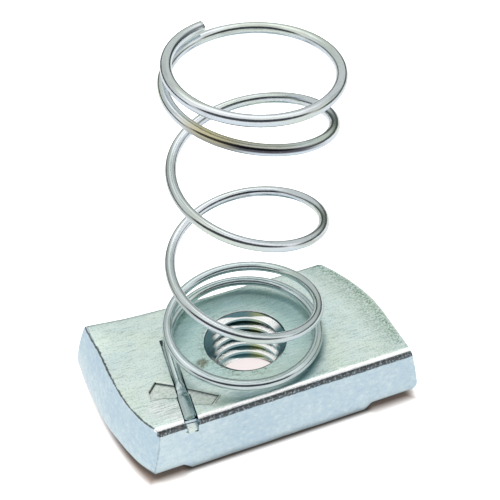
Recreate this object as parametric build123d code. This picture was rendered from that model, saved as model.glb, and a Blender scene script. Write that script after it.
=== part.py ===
# Strut channel nut with a captive coil spring: a pressed steel plate with an M10 thread, and a wire
# spring whose straight tail is staked into a groove in the plate's top face.
# Millimetres. Z is the thread's axis, z = 0 is the underside of the central pad, X is the long way.
import os
from math import asin, cos, degrees, radians, sin, sqrt, tan

from build123d import *

# ---- plate ----
PLATE_LENGTH = 35.0
PLATE_WIDTH = 19.0
PLATE_THICKNESS = 8.0
TURN_FLAT_END = 3.0  # each end is flat up to this far past its middle, then curves away
TURN_CORNER_RADIUS = 21.8  # the curve that lets the nut turn a quarter turn inside the channel
END_DRAFT = 12.0  # degrees; both ends lean outward toward the underside
OUTLINE_OVERRUN = 1.5  # the ends' outline runs this far past the long sides before they trim it
LONG_EDGE_RADIUS = 1.0  # rolled long edges of the top face
LOWER_EDGE_RADIUS = 1.0

# ---- underside ----
PAD_LENGTH = 22.2  # the pad stands between the two lips of the channel
PAD_SHIFT = 0.6
SHOULDER_RUN = 0.9  # the pad's ends slope over this length
LIP_SEAT_DEPTH = 0.9  # the seats on the lips are this far above the pad
TOOTH_PITCH = 1.5
TOOTH_DEPTH = 0.5
TOOTH_LENGTH = 3.0
TOOTH_COUNT = 12
TOOTH_GAP = 0.2  # between the shoulder and the teeth

# ---- thread, M10 x 1.5 ----
THREAD_DIAMETER = 10.0
THREAD_PITCH = 1.5
THREAD_MOUTH_DIAMETER = 10.1
LEAD_IN_ANGLE = 120.0  # included angle of the lead-in at both mouths

# ---- spring ----
WIRE_DIAMETER = 1.2
COIL_START = 107.0  # degrees from +X, at the cut end on top; the wire goes down anticlockwise from above
COIL_END = 1977.0  # where the last coil runs straight on as the tail
TOP_RADIUS = 8.35  # of the wire's centre line, here and below at equal angles from top to bottom
SHOULDER_RADIUS = 8.7
WAIST_RADIUS = 8.15
LOWER_RADIUS = 8.5
FOOT_RADIUS = 9.05
END_RADIUS = 9.1
TOP_PITCH = 0.05  # closed turn on top
OPEN_PITCH = 12.5
BOTTOM_PITCH = 1.5  # closed turn over the plate
PITCH_TURNS = (0.55, 1.88, 3.6, 4.22)  # turns from the top where the pitch starts and stops opening and closing
SPRING_LEAN = 4.9  # degrees; the free spring leans toward +X
TURN_LEAN = 4.0  # degrees; each turn leans this far with it
COIL_TILT = 0.04  # the back of each turn stands higher by this share of its distance from the axis
TOP_TURN_TILT = 0.085  # extra tilt of the top turn
TOP_TILT_TURNS = 1.5  # the extra tilt fades over this many turns
AXIS_OFFSET_Y = 0.45
PATH_STEP = 11.0  # degrees between points of the wire's centre line
ARC_STEPS = 4  # steps between the points that a pair of arcs joins

# ---- tail, groove and stake ----
TAIL_SKEW = 3.2  # degrees between the tail and the short way of the plate
TAIL_X = -9.27  # the tail's line crosses the long centre line here
TAIL_END_Y = -8.7
TAIL_BED_Y = -3.4  # from here to its end the tail lies on the groove's floor
GROOVE_START_Y = 3.9
GROOVE_WIDTH = 1.7
GROOVE_DEPTH = 0.95
BED_CLEARANCE = 0.03  # between the wire and the groove's floor
COIL_END_SINK = 0.05  # the wire is this far into the groove where the coil ends
STAKE_Y = -5.3  # the stake's middle crosses the tail's line here
STAKE_ANGLE = -33.0  # degrees from the long way
STAKE_LENGTH = 7.4
STAKE_WIDTH = 2.2
STAKE_DEPTH = 0.35  # at its back edge; it runs out at the front

COIL_RADII = (TOP_RADIUS, SHOULDER_RADIUS, WAIST_RADIUS, LOWER_RADIUS, FOOT_RADIUS, END_RADIUS)
DX_PER_Y = tan(radians(TAIL_SKEW))
WIRE_RADIUS = WIRE_DIAMETER / 2
TAIL_BED_Z = PLATE_THICKNESS - GROOVE_DEPTH + WIRE_RADIUS + BED_CLEARANCE
COIL_END_Z = PLATE_THICKNESS + WIRE_RADIUS - COIL_END_SINK


def tail_x(y):
    return TAIL_X + DX_PER_Y * y


# ---- the wire's centre line ----
def pitch_at(turn):
    """Rise per turn, given turns from the top end."""
    opens, open_, closes, closed = PITCH_TURNS
    if turn <= opens:
        return TOP_PITCH
    if turn < open_:
        return TOP_PITCH + (OPEN_PITCH - TOP_PITCH) * (turn - opens) / (open_ - opens)
    if turn <= closes:
        return OPEN_PITCH
    if turn < closed:
        return OPEN_PITCH + (BOTTOM_PITCH - OPEN_PITCH) * (turn - closes) / (closed - closes)
    return BOTTOM_PITCH


def smooth(t):
    t = min(max(t, 0.0), 1.0)
    return t * t * (3 - 2 * t)


def radius_at(angle):
    span = (COIL_END - COIL_START) / (len(COIL_RADII) - 1)
    place = (angle - COIL_START) / span
    index = min(int(place), len(COIL_RADII) - 2)
    return COIL_RADII[index] + (COIL_RADII[index + 1] - COIL_RADII[index]) * smooth(place - index)


def coil_points():
    """Points down the coil, top end first; heights are summed upward from the tail."""
    count = round((COIL_END - COIL_START) / PATH_STEP)
    axis_x = tail_x(0) + COIL_RADII[-1] * cos(radians(TAIL_SKEW))
    height = COIL_END_Z
    points = []
    for i in range(count, -1, -1):
        angle = COIL_START + i * PATH_STEP
        if i < count:
            middle_turn = (i + 0.5) * PATH_STEP / 360
            height += pitch_at(middle_turn) * PATH_STEP / 360
        from_top = (angle - COIL_START) / 360
        free = min((COIL_END - angle) / 360, 1.0)
        x = radius_at(angle) * cos(radians(angle))
        y = radius_at(angle) * sin(radians(angle))
        tilt = COIL_TILT + TOP_TURN_TILT * smooth(1 - from_top / TOP_TILT_TURNS)
        z = height + free * (tilt * y - tan(radians(TURN_LEAN)) * x)
        lean = (height - PLATE_THICKNESS) * tan(radians(SPRING_LEAN))
        points.append(Vector(axis_x + lean + x, AXIS_OFFSET_Y + y, z))
    return points[::-1]


def tangent_arcs(start, start_way, end, end_way):
    """A pair of arcs from start to end that keep both directions and meet smoothly halfway."""
    chord = end - start
    along = chord.dot(start_way + end_way)
    spread = 2 * (1 - start_way.dot(end_way))
    across = chord.dot(chord)
    reach = (sqrt(along**2 + spread * across) - along) / spread if spread > 1e-9 else across / (2 * along)
    before = start + start_way * reach
    after = end - end_way * reach
    meet = (before + after) / 2
    return [
        Edge.make_tangent_arc(start, start_way, meet),
        Edge.make_tangent_arc(meet, (after - before).normalized(), end),
    ]


def wire_path():
    """The coil as pairs of arcs, then the tail: an S over the groove's edge and a straight run on its floor."""
    points = coil_points()
    last = len(points) - 1
    tail_way = Vector(-DX_PER_Y, -1, 0).normalized()
    ways = [points[1] - points[0]]
    ways += [points[i + 1] - points[i - 1] for i in range(1, last)]
    ways = [way.normalized() for way in ways] + [tail_way]
    knots = [*range(0, last, ARC_STEPS), last]
    edges = []
    for i, j in zip(knots, knots[1:]):
        edges += tangent_arcs(points[i], ways[i], points[j], ways[j])
    bed, end = (Vector(tail_x(y), y, TAIL_BED_Z) for y in (TAIL_BED_Y, TAIL_END_Y))
    edges += tangent_arcs(points[last], tail_way, bed, tail_way)
    edges.append(Edge.make_line(bed, end))
    return Wire(edges)


# ---- nut plate ----
half_l = PLATE_LENGTH / 2
half_w = PLATE_WIDTH / 2

# long sides: a bar section with rolled top edges, drawn in Y-Z and run along X
with BuildPart() as bar:
    with BuildSketch(Plane.YZ):
        with Locations((0, PLATE_THICKNESS / 2)):
            Rectangle(PLATE_WIDTH, PLATE_THICKNESS)
        fillet(vertices().group_by(Axis.Y)[-1], LONG_EDGE_RADIUS)
    extrude(amount=PLATE_LENGTH, both=True)

# ends: flat over one half and curved over the other, alike after half a turn about Z
reach = half_w + OUTLINE_OVERRUN
curve_angle = degrees(asin((reach + TURN_FLAT_END) / TURN_CORNER_RADIUS))
corner = (half_l - TURN_CORNER_RADIUS, -TURN_FLAT_END)


def on_corner(angle):
    return (
        corner[0] + TURN_CORNER_RADIUS * cos(radians(angle)),
        corner[1] + TURN_CORNER_RADIUS * sin(radians(angle)),
    )


def turned(point):
    return (-point[0], -point[1])


flat_start = (half_l, -reach)
curve_start = (half_l, -TURN_FLAT_END)
middle = on_corner(curve_angle / 2)
curve_end = on_corner(curve_angle)
with BuildPart() as plate:
    with BuildSketch(Plane.XY.offset(PLATE_THICKNESS)):
        with BuildLine():
            Line(flat_start, curve_start)
            ThreePointArc(curve_start, middle, curve_end)
            Line(curve_end, turned(flat_start))
            Line(turned(flat_start), turned(curve_start))
            ThreePointArc(turned(curve_start), turned(middle), turned(curve_end))
            Line(turned(curve_end), flat_start)
        make_face()
    extrude(amount=-PLATE_THICKNESS, taper=-END_DRAFT)
    add(bar.part, mode=Mode.INTERSECT)

    # seats for the channel's lips, either side of the sloped pad
    seat_start = PAD_LENGTH / 2 + SHOULDER_RUN
    for side in (1, -1):
        foot = side * PAD_LENGTH / 2 + PAD_SHIFT
        top_x = side * seat_start + PAD_SHIFT
        far = side * PLATE_LENGTH
        with BuildSketch(Plane.XZ):
            Polygon(
                (foot, 0), (foot, -LIP_SEAT_DEPTH), (far, -LIP_SEAT_DEPTH), (far, LIP_SEAT_DEPTH),
                (top_x, LIP_SEAT_DEPTH), align=None,
            )
        extrude(amount=PLATE_WIDTH, both=True, mode=Mode.SUBTRACT)
    ends = plate.edges().filter_by_position(Axis.Z, LIP_SEAT_DEPTH - 0.01, LIP_SEAT_DEPTH + 0.01)
    ends = ends.filter_by(lambda e: abs(e.center().X) > seat_start + TOOTH_LENGTH and e.length > SHOULDER_RUN)
    ends = ends.filter_by(lambda e: abs(e.center().Y) < half_w - LONG_EDGE_RADIUS)
    fillet(ends, LOWER_EDGE_RADIUS)

    # teeth that bite on the lips: ridges along X
    for side in (1, -1):
        start = side * (seat_start + TOOTH_GAP) + PAD_SHIFT
        with BuildSketch(Plane.YZ.offset(start)):
            with GridLocations(TOOTH_PITCH, 1, TOOTH_COUNT, 1):
                with Locations((0, LIP_SEAT_DEPTH)):
                    Polygon(
                        (-TOOTH_DEPTH, -0.01), (TOOTH_DEPTH, -0.01), (0, TOOTH_DEPTH), align=None
                    )
        extrude(amount=side * TOOTH_LENGTH, mode=Mode.SUBTRACT)

    # tapped hole at its minor diameter, with a lead-in at both mouths
    minor_radius = (THREAD_DIAMETER - THREAD_PITCH) / 2
    mouth_radius = THREAD_MOUTH_DIAMETER / 2
    lead_in = (mouth_radius - minor_radius) / tan(radians(LEAD_IN_ANGLE / 2))
    with BuildSketch(Plane.XZ):
        Polygon(
            (0, 0), (mouth_radius, 0), (minor_radius, lead_in), (minor_radius, PLATE_THICKNESS - lead_in),
            (mouth_radius, PLATE_THICKNESS), (0, PLATE_THICKNESS), align=None,
        )
    revolve(axis=Axis.Z, mode=Mode.SUBTRACT)

    # groove for the tail, open at the front edge
    groove_length = GROOVE_START_Y + half_w + OUTLINE_OVERRUN
    groove_middle_y = GROOVE_START_Y - groove_length / 2
    with BuildSketch(Plane.XY.offset(PLATE_THICKNESS)):
        with Locations(Location((tail_x(groove_middle_y), groove_middle_y), -TAIL_SKEW)):
            Rectangle(GROOVE_WIDTH, groove_length)
    extrude(amount=-GROOVE_DEPTH, mode=Mode.SUBTRACT)

    # stake mark struck across the groove: a wedge, deepest along its back edge
    middle_point = Vector(tail_x(STAKE_Y), STAKE_Y, PLATE_THICKNESS)
    across_way = Vector(sin(radians(STAKE_ANGLE)), -cos(radians(STAKE_ANGLE)), 0)
    with BuildSketch(Plane(origin=middle_point, x_dir=across_way, z_dir=across_way.cross(Vector(0, 0, 1)))):
        Polygon(
            (-STAKE_WIDTH / 2, -STAKE_DEPTH), (STAKE_WIDTH / 2, 0), (-STAKE_WIDTH / 2, 0), align=None
        )
    extrude(amount=STAKE_LENGTH / 2, both=True, mode=Mode.SUBTRACT)

# ---- spring ----
path = wire_path()
section = Plane(origin=path @ 0, z_dir=path % 0) * Circle(WIRE_RADIUS)
spring = sweep(section, path=path)

os.makedirs("parts", exist_ok=True)
export_step(plate.part, "parts/nut_plate.step")
export_step(spring, "parts/coil_spring.step")
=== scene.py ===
"""Strut channel spring nut: a plated steel nut plate with a tapped hole, and a coil spring staked to it."""

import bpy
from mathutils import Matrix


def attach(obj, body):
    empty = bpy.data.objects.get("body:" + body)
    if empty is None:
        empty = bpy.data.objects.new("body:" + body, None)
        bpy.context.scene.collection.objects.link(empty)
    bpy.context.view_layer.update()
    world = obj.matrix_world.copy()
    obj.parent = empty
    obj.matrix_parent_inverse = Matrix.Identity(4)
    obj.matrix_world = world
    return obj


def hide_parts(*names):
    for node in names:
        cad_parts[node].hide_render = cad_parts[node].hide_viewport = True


bl_info = {
    "name": "Strut Channel Spring Nut",
    "version": (1, 0, 0),
    "blender": (4, 5, 0),
    "location": "View3D > Sidebar > Spring Nut",
    "description": "Builds a plated nut plate with a real thread and a staked coil spring",
    "category": "Add Mesh",
}

from math import cos, hypot, pi, radians, sin, sqrt, tan

import bmesh
import bpy
from bpy.props import FloatProperty, FloatVectorProperty, IntProperty, PointerProperty
from mathutils import Matrix, Vector, noise

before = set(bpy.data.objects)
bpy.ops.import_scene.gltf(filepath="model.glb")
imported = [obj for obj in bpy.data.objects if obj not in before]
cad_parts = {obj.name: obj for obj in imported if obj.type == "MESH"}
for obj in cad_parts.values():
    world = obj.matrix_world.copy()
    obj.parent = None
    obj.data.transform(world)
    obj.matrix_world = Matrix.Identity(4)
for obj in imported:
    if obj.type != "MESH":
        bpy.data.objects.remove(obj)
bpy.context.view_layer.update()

MM = 0.001  # pieces are shaped in millimetres and scaled to metres when they are finished


def length(name, value, description):
    """A size in millimetres, shown in the scene's length unit."""
    return FloatProperty(
        name=name, description=description, default=value * MM, min=0.0, unit="LENGTH", precision=5
    )


def place(name, value, description):
    """A position in millimetres, which may be negative."""
    return FloatProperty(name=name, description=description, default=value * MM, unit="LENGTH", precision=5)


def turn(name, value, description):
    """An angle in degrees."""
    return FloatProperty(name=name, description=description, default=radians(value), subtype="ANGLE")


def share(name, value, description):
    """A share from 0 to 1."""
    return FloatProperty(
        name=name, description=description, default=value, min=0.0, max=1.0, subtype="FACTOR"
    )


def number(name, value, least, most, description):
    """A whole number."""
    return IntProperty(name=name, description=description, default=value, min=least, max=most)


def colour(name, value, description):
    """A colour of the finish."""
    return FloatVectorProperty(
        name=name, description=description, default=value, size=3, min=0.0, max=1.0, subtype="COLOR"
    )


class PlateSizes(bpy.types.PropertyGroup):
    """Sizes of the nut plate"""

    half_length: length("Half length", 17.5, "From the thread's axis to the flat part of an end, at the top")
    width: length("Width", 19.0, "Across the plate, front to back")
    thickness: length("Thickness", 8.0, "From the pad's underside to the top face")
    turn_radius: length("Turning curve", 21.8, "Radius of the curve that lets the nut turn in its channel")
    turn_flat: length("Flat past middle", 3.0, "How far past its middle an end stays flat")
    roll_radius: length("Rolled edge", 0.95, "Radius of the rolled long edges on top")
    foot_radius: length("Lower edge", 0.22, "Radius of the lower long edges")
    end_tuck: length("End foot radius", 1.25, "Radius where the ends turn under")
    pad_length: length("Pad length", 22.2, "The pad stands between the lips of the channel")
    pad_shift: place("Pad shift", 0.6, "The pad's middle from the thread's axis")
    shoulder_run: length("Shoulder run", 0.9, "The pad's ends slope over this length")
    seat_depth: length("Lip seat depth", 0.9, "Height of the lip seats over the pad")
    tooth_pitch: length("Tooth pitch", 1.5, "Between the ridges that bite on the lips")
    tooth_depth: length("Tooth depth", 0.5, "Depth of the grooves between the ridges")
    tooth_length: length("Tooth length", 3.0, "Length of the ridges")
    waviness: length("Waviness", 0.03, "How far the pressed faces depart from true")


class ThreadSizes(bpy.types.PropertyGroup):
    """Sizes of the tapped hole"""

    major_radius: length("Major radius", 5.0, "Radius at the thread's roots")
    minor_radius: length("Minor radius", 4.25, "Radius at the thread's crests")
    pitch: length("Pitch", 1.5, "Rise of the thread in one turn")
    lead_in: turn("Lead-in angle", 120.0, "Included angle of the lead-in at both mouths")
    mouth_step: length("Mouth step", 0.12, "Depth of the straight step at the upper mouth")
    phase: place("Phase", -0.74, "Moves the thread along its axis")
    low_mouth: length("Lower mouth", 4.30, "Radius of the lower mouth, which is only lightly broken")
    steps: number("Steps", 96, 24, 240, "Segments in one turn")


class TailSizes(bpy.types.PropertyGroup):
    """Sizes of the tail's groove and its stake"""

    skew: turn("Skew", 3.2, "Between the tail and the short way of the plate")
    middle_x: place("Tail middle", -9.27, "Where the tail's line crosses the long centre line")
    groove_start: place("Groove start", 3.9, "The groove's closed end")
    groove_width: length("Groove width", 1.36, "Across the groove")
    groove_depth: length("Groove depth", 0.95, "Below the top face")
    spread_width: length("Spread width", 1.62, "Across the groove past the stake")
    bed_start: place("Bed start", -3.4, "From here on the tail lies on the groove's floor")
    tail_end: place("Tail end", -8.42, "The cut end of the tail")
    stake_depth: length("Stake depth", 0.19, "Depth of the chisel mark at its back edge")
    flat_top: length("Flattened top", 8.08, "Height of the tail's top where the stake has flattened it")


class SpringSizes(bpy.types.PropertyGroup):
    """Sizes of the coil spring"""

    wire_diameter: length("Wire diameter", 1.2, "Thickness of the spring wire")
    start: turn("Start", 107.0, "Where the cut top end lies, anticlockwise from +X")
    end: turn("End", 1977.0, "Where the last turn runs on as the tail")
    top_pitch: length("Top pitch", 0.05, "Rise of the closed turn on top")
    open_pitch: length("Open pitch", 12.5, "Rise of the open turns")
    bottom_pitch: length("Bottom pitch", 1.5, "Rise of the closed turn over the plate")
    lean: turn("Lean", 4.9, "The free spring leans toward +X")
    turn_lean: turn("Turn lean", 4.0, "Each turn leans with it")
    rings_per_turn: number("Rings", 120, 24, 240, "Sections in one turn")
    sides: number("Sides", 24, 8, 48, "Sides of the wire's section")


class Finish(bpy.types.PropertyGroup):
    """Colours and roughness of the plating"""

    plate_top: colour("Top face", (0.78, 0.90, 0.85), "Bright zinc on the top face")
    # the sides' bluer, darker colour stands for painted shade and reflection
    plate_side: colour("Sides", (0.65, 0.79, 0.83), "Bright zinc on the sides, a little bluer")
    plate_tint: colour("Tint", (0.80, 0.92, 0.74), "Faint yellow-green of the passivation")
    plate_dark: colour("Grain", (0.28, 0.38, 0.35), "Fine pits and scratches")
    wire: colour("Wire", (0.77, 0.81, 0.84), "Bright zinc on drawn wire")
    # the wire's underside colour stands for a painted reflection
    wire_under: colour("Wire underside", (0.64, 0.74, 0.85), "Bluish where the wire faces down")
    wire_tint: colour("Wire tint", (0.68, 0.75, 0.64), "Yellow-green of the passivation")
    stain_at: length("Stain", 71.8, "Where the wire is stained yellow, along it from the cut top end")
    plate_roughness: share("Plate roughness", 0.32, "Roughness of the plate")
    wire_roughness: share("Wire roughness", 0.11, "Roughness of the wire")


class Stage(bpy.types.PropertyGroup):
    """Camera and light"""

    camera_at: FloatVectorProperty(
        name="Camera", description="Where the camera stands", default=(-0.022959, -0.073976, 0.088416),
        size=3, subtype="TRANSLATION", unit="LENGTH", precision=5,
    )
    azimuth: turn("Azimuth", -18.056, "The camera's turn about the vertical")
    elevation: turn("Elevation", 40.515, "How steeply the camera looks down")
    roll: turn("Roll", -3.645, "The camera's turn about its own line of sight")
    lens: FloatProperty(
        name="Lens", description="Focal length on a 36 mm sensor", default=66.07, unit="CAMERA"
    )
    shift: FloatProperty(name="Shift", description="Sideways shift of the frame", default=0.0028, precision=4)


class SpringNut(bpy.types.PropertyGroup):
    """All settings of the spring nut"""

    plate: PointerProperty(type=PlateSizes)
    thread: PointerProperty(type=ThreadSizes)
    tail: PointerProperty(type=TailSizes)
    spring: PointerProperty(type=SpringSizes)
    finish: PointerProperty(type=Finish)
    stage: PointerProperty(type=Stage)


def mm(value):
    """A size of the panel, in millimetres."""
    return value / MM


def smooth(t):
    """0 below 0, 1 above 1, smooth between."""
    t = min(max(t, 0.0), 1.0)
    return t * t * (3 - 2 * t)


# ---- mesh helpers ----
def finish_piece(bm, name, material, sharp_angle=32.0):
    """Turns a bmesh in millimetres into a piece in metres that rides on the root body."""
    bmesh.ops.scale(bm, vec=(MM, MM, MM), verts=bm.verts)
    mesh = bpy.data.meshes.new(name)
    bm.to_mesh(mesh)
    bm.free()
    mesh.shade_smooth()
    mesh.set_sharp_from_angle(angle=radians(sharp_angle))
    mesh.materials.clear()
    mesh.materials.append(material)
    piece = bpy.data.objects.new(name, mesh)
    bpy.context.scene.collection.objects.link(piece)
    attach(piece, "root")
    return piece


def cut_with(bm, cutter):
    """Cuts a bmesh with another and returns the result; both inputs are freed."""
    objects = []
    for name, source in (("cut_body", bm), ("cut_tool", cutter)):
        mesh = bpy.data.meshes.new(name)
        source.to_mesh(mesh)
        source.free()
        objects.append(bpy.data.objects.new(name, mesh))
        bpy.context.scene.collection.objects.link(objects[-1])
    body, tool = objects
    modifier = body.modifiers.new("cut", "BOOLEAN")
    modifier.operation = "DIFFERENCE"
    modifier.solver = "EXACT"
    modifier.object = tool
    cut = bpy.data.meshes.new_from_object(body.evaluated_get(bpy.context.evaluated_depsgraph_get()))
    result = bmesh.new()
    result.from_mesh(cut)
    bpy.data.meshes.remove(cut)
    for made in objects:
        mesh = made.data
        bpy.data.objects.remove(made)
        bpy.data.meshes.remove(mesh)
    return result


def block(lines):
    """A box whose faces are gridded at the given positions along X, Y and Z."""
    bm = bmesh.new()
    bmesh.ops.create_cube(bm, size=1.0)
    for axis in range(3):
        along = [e for e in bm.edges if abs(e.verts[0].co[axis] - e.verts[1].co[axis]) > 0.5]
        bmesh.ops.subdivide_edges(bm, edges=along, cuts=len(lines[axis]) - 2, use_grid_fill=True)
    for v in bm.verts:
        v.co = [lines[axis][round((v.co[axis] + 0.5) * (len(lines[axis]) - 1))] for axis in range(3)]
    return bm


def run(start, end, count):
    """Evenly spaced positions from start up to, but not with, end."""
    return [start + (end - start) * i / count for i in range(count)]


def section_line(bm, points):
    """A chain of edges in the XZ plane through points of radius and height, as a section to spin."""
    verts = [bm.verts.new((radius, 0.0, height)) for radius, height in points]
    return verts + [bm.edges.new(pair) for pair in zip(verts, verts[1:])]


def corner_lines(edge, radius, count):
    """Positions that give even steps round a corner of this radius, from the edge inward."""
    return [edge - radius * (1 - tan(pi / 4 * (1 - i / count))) for i in range(count)]


# ---- nut plate ----
LEFT_END_BACK = 10.0  # y from which the left end's outline runs inward
LEFT_END_RUN = 19.4  # from there to the front corner
LEFT_END_INSET, LEFT_END_SLANT, LEFT_END_CURVE = 0.24, 1.1, 2.54
# how far an end's face stands out, per millimetre and per square millimetre below the top face
RIGHT_BULGE = (0.25, -0.008)
LEFT_FRONT_BULGE = (0.10, 0.016)
LEFT_BACK_BULGE = (0.62, -0.041)
LEFT_MIDDLE_BULGE = 0.14  # added half way along the left end
# the back edge is pushed out, more so to the left, and its left corner goes left, back and up
BACK_EDGE_OUT, BACK_LEFT_OUT = 0.10, 0.42
CORNER_OUT, CORNER_BACK, CORNER_LIFT = 0.18, 0.14, 0.36
CORNER_FROM, CORNER_WIDTH = (-12.0, 3.0), (5.5, 6.5)  # where that corner begins, and how far until it is full
BACK_EDGE_FROM = 2.0  # y from which the back edge is pushed out
BACK_LEFT_FROM, BACK_LEFT_WIDTH = -4.0, 13.0  # x from which it is pushed more, and how far until that is full
# y where the left end has its front shape, and how far from there to its back one
LEFT_BULGE_FROM, LEFT_BULGE_WIDTH = -9.0, 16.0
# the left end turns under less at its front: y of the least, how far until it is full, and the least share
LEFT_TUCK_FROM, LEFT_TUCK_WIDTH, LEFT_TUCK_LEAST = -8.5, 6.0, 0.35
TEETH_GAP = 0.2  # between the shoulder and the ridges
TEETH_MARGIN = 0.6  # the ridges stop this far from the long edges
STRAIGHT_RIGHT, STRAIGHT_LEFT = 12.8, 12.2  # past these the grid is stretched to follow the ends
# the grid is finest in this part of the top face, where the groove and the stake are
MARKED_X, MARKED_Y = (-14.0, -5.5), (-8.25, -2.0)
LOW_PART = 2.6  # the grid's layers are thinner below this height, where the ends turn under


def end_outline(plate, side, y):
    """X of an end's top edge at y. One half is flat, the other curves back."""
    if side > 0:
        past = y + mm(plate.turn_flat)
        if past <= 0:
            return mm(plate.half_length)
        radius = mm(plate.turn_radius)
        return mm(plate.half_length) - radius + sqrt(radius**2 - past**2)
    forward = (LEFT_END_BACK - y) / LEFT_END_RUN
    inward = LEFT_END_INSET + LEFT_END_SLANT * forward + LEFT_END_CURVE * max(forward, 0.0) ** 5
    return inward - mm(plate.half_length)


def bulge(shape, down):
    """How far an end's face stands out at this depth below the top face."""
    return shape[0] * down + shape[1] * down**2


def end_reach(plate, side, y, z):
    """X of an end's face at y and z: it bulges outward toward the foot and turns under."""
    down = mm(plate.thickness) - z
    out, tuck = bulge(RIGHT_BULGE, down), mm(plate.end_tuck)
    if side < 0:
        # 0 at the front corner, 1 near the back one
        back = smooth((y - LEFT_BULGE_FROM) / LEFT_BULGE_WIDTH)
        out = (1 - back) * bulge(LEFT_FRONT_BULGE, down) + back * bulge(LEFT_BACK_BULGE, down)
        out += LEFT_MIDDLE_BULGE * down * back * (1 - back)
        turned = smooth((y - LEFT_TUCK_FROM) / LEFT_TUCK_WIDTH)
        tuck *= LEFT_TUCK_LEAST + (1 - LEFT_TUCK_LEAST) * turned
    low = mm(plate.seat_depth) + tuck - z
    if low > 0:
        out -= tuck - sqrt(max(tuck**2 - min(low, tuck) ** 2, 0.0))
    return end_outline(plate, side, y) + side * out


def flare(plate, x, y, z):
    """The shears pushed the back edge out a little, and turned its left corner out and up."""
    height = z / mm(plate.thickness)
    back = smooth((y - BACK_EDGE_FROM) / (mm(plate.width) / 2 - BACK_EDGE_FROM))
    leftward = smooth((BACK_LEFT_FROM - x) / BACK_LEFT_WIDTH)
    corner = smooth((y - CORNER_FROM[1]) / CORNER_WIDTH[1]) * smooth((CORNER_FROM[0] - x) / CORNER_WIDTH[0])
    pushed = back * (BACK_EDGE_OUT + BACK_LEFT_OUT * leftward) + CORNER_BACK * corner
    lift = CORNER_LIFT * corner * max(height, 0.0) ** 3
    return Vector((x - CORNER_OUT * corner * height, y + pushed, z + lift))


def underside(plate, x, y):
    """Height of the underside: the pad, its sloped shoulders and the toothed lip seats."""
    past = abs(x - mm(plate.pad_shift)) - mm(plate.pad_length) / 2
    if past <= 0:
        return 0.0
    run_out = mm(plate.shoulder_run)
    if past < run_out:
        return mm(plate.seat_depth) * past / run_out
    height = mm(plate.seat_depth)
    teeth_from = run_out + TEETH_GAP
    inside = abs(y) < mm(plate.width) / 2 - TEETH_MARGIN
    if inside and teeth_from < past < teeth_from + mm(plate.tooth_length):
        pitch = mm(plate.tooth_pitch)
        across = (y + pitch / 2) % pitch
        from_groove = min(across, pitch - across)
        height += max(mm(plate.tooth_depth) - from_groove, 0.0)
    return height


def round_long_edge(plate, y, z):
    """Moves a point by a square long edge of the bar onto its rolled top edge or its small lower one."""
    top = mm(plate.thickness)
    facing = 1 if z > top / 2 else -1
    radius = mm(plate.roll_radius if facing > 0 else plate.foot_radius)
    middle_y, middle_z = mm(plate.width) / 2 - radius, top - radius if facing > 0 else radius
    across, up = (abs(y) - middle_y) / radius, facing * (z - middle_z) / radius
    if across <= 0 or up <= 0:
        return y, z
    reach = radius * max(across, up) / hypot(across, up)
    return (middle_y + across * reach) * (1 if y > 0 else -1), middle_z + facing * up * reach


def plate_grid(plate):
    """The bar's grid lines along X, Y and Z: close together where it is marked, rolled or curved."""
    half_l, half_w, top = mm(plate.half_length), mm(plate.width) / 2, mm(plate.thickness)
    roll, foot = mm(plate.roll_radius), mm(plate.foot_radius)
    inner = half_w - roll
    edge = corner_lines(half_w, roll, 7)
    (left, right), (front, middle) = MARKED_X, MARKED_Y
    xs = run(-half_l, left, 14) + run(left, right, 60) + run(right, STRAIGHT_RIGHT, 74)
    xs += run(STRAIGHT_RIGHT, half_l, 20) + [half_l]
    ys = [-y for y in edge] + run(-inner, front, 2) + run(front, middle, 50) + run(middle, -front, 41)
    ys += run(-front, inner, 2) + [inner] + edge[::-1]
    zs = [-z for z in corner_lines(0.0, foot, 3)] + run(foot, LOW_PART, 9)
    zs += run(LOW_PART, top - roll, 12) + [top - roll] + corner_lines(top, roll, 7)[::-1]
    return xs, ys, zs


def plate_block(plate):
    """The pressed bar before it is tapped, grooved and staked: straight in its middle, curved at its ends."""
    top = mm(plate.thickness)
    teeth_end = mm(plate.pad_length) / 2 + mm(plate.shoulder_run) + TEETH_GAP + mm(plate.tooth_length)
    bm = block(plate_grid(plate))
    for v in bm.verts:
        x, (y, z) = v.co.x, round_long_edge(plate, v.co.y, v.co.z)
        side = 1 if x > 0 else -1
        straight = STRAIGHT_RIGHT if side > 0 else STRAIGHT_LEFT
        at_end = abs(x) > straight
        low = mm(plate.seat_depth) if at_end else underside(plate, x, y)
        z = low + (top - low) * z / top
        if at_end:
            reach = abs(end_reach(plate, side, y, z))
            stretch = (reach - straight) / (mm(plate.half_length) - straight)
            x = side * (straight + (abs(x) - straight) * stretch)
            if abs(x - mm(plate.pad_shift)) < teeth_end:
                z = max(z, underside(plate, x, y))
        v.co = flare(plate, x, y, z)
    bmesh.ops.recalc_face_normals(bm, faces=bm.faces)
    return bm


SPREAD_START = -5.4  # y from which the groove is wider, for the spread tail
NOTCH_NARROWER, NOTCH_DEEPER, NOTCH_FALL = 0.30, 0.35, 1.3
NOTCH_LAP = 0.02  # the notch begins this far under the tail's cut end
GROOVE_OVERRUN = 1.5  # the tools run this far past the front edge


def tail_x(tail, y):
    """X of the tail's centre line at y."""
    return mm(tail.middle_x) + tan(tail.skew) * y


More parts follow.
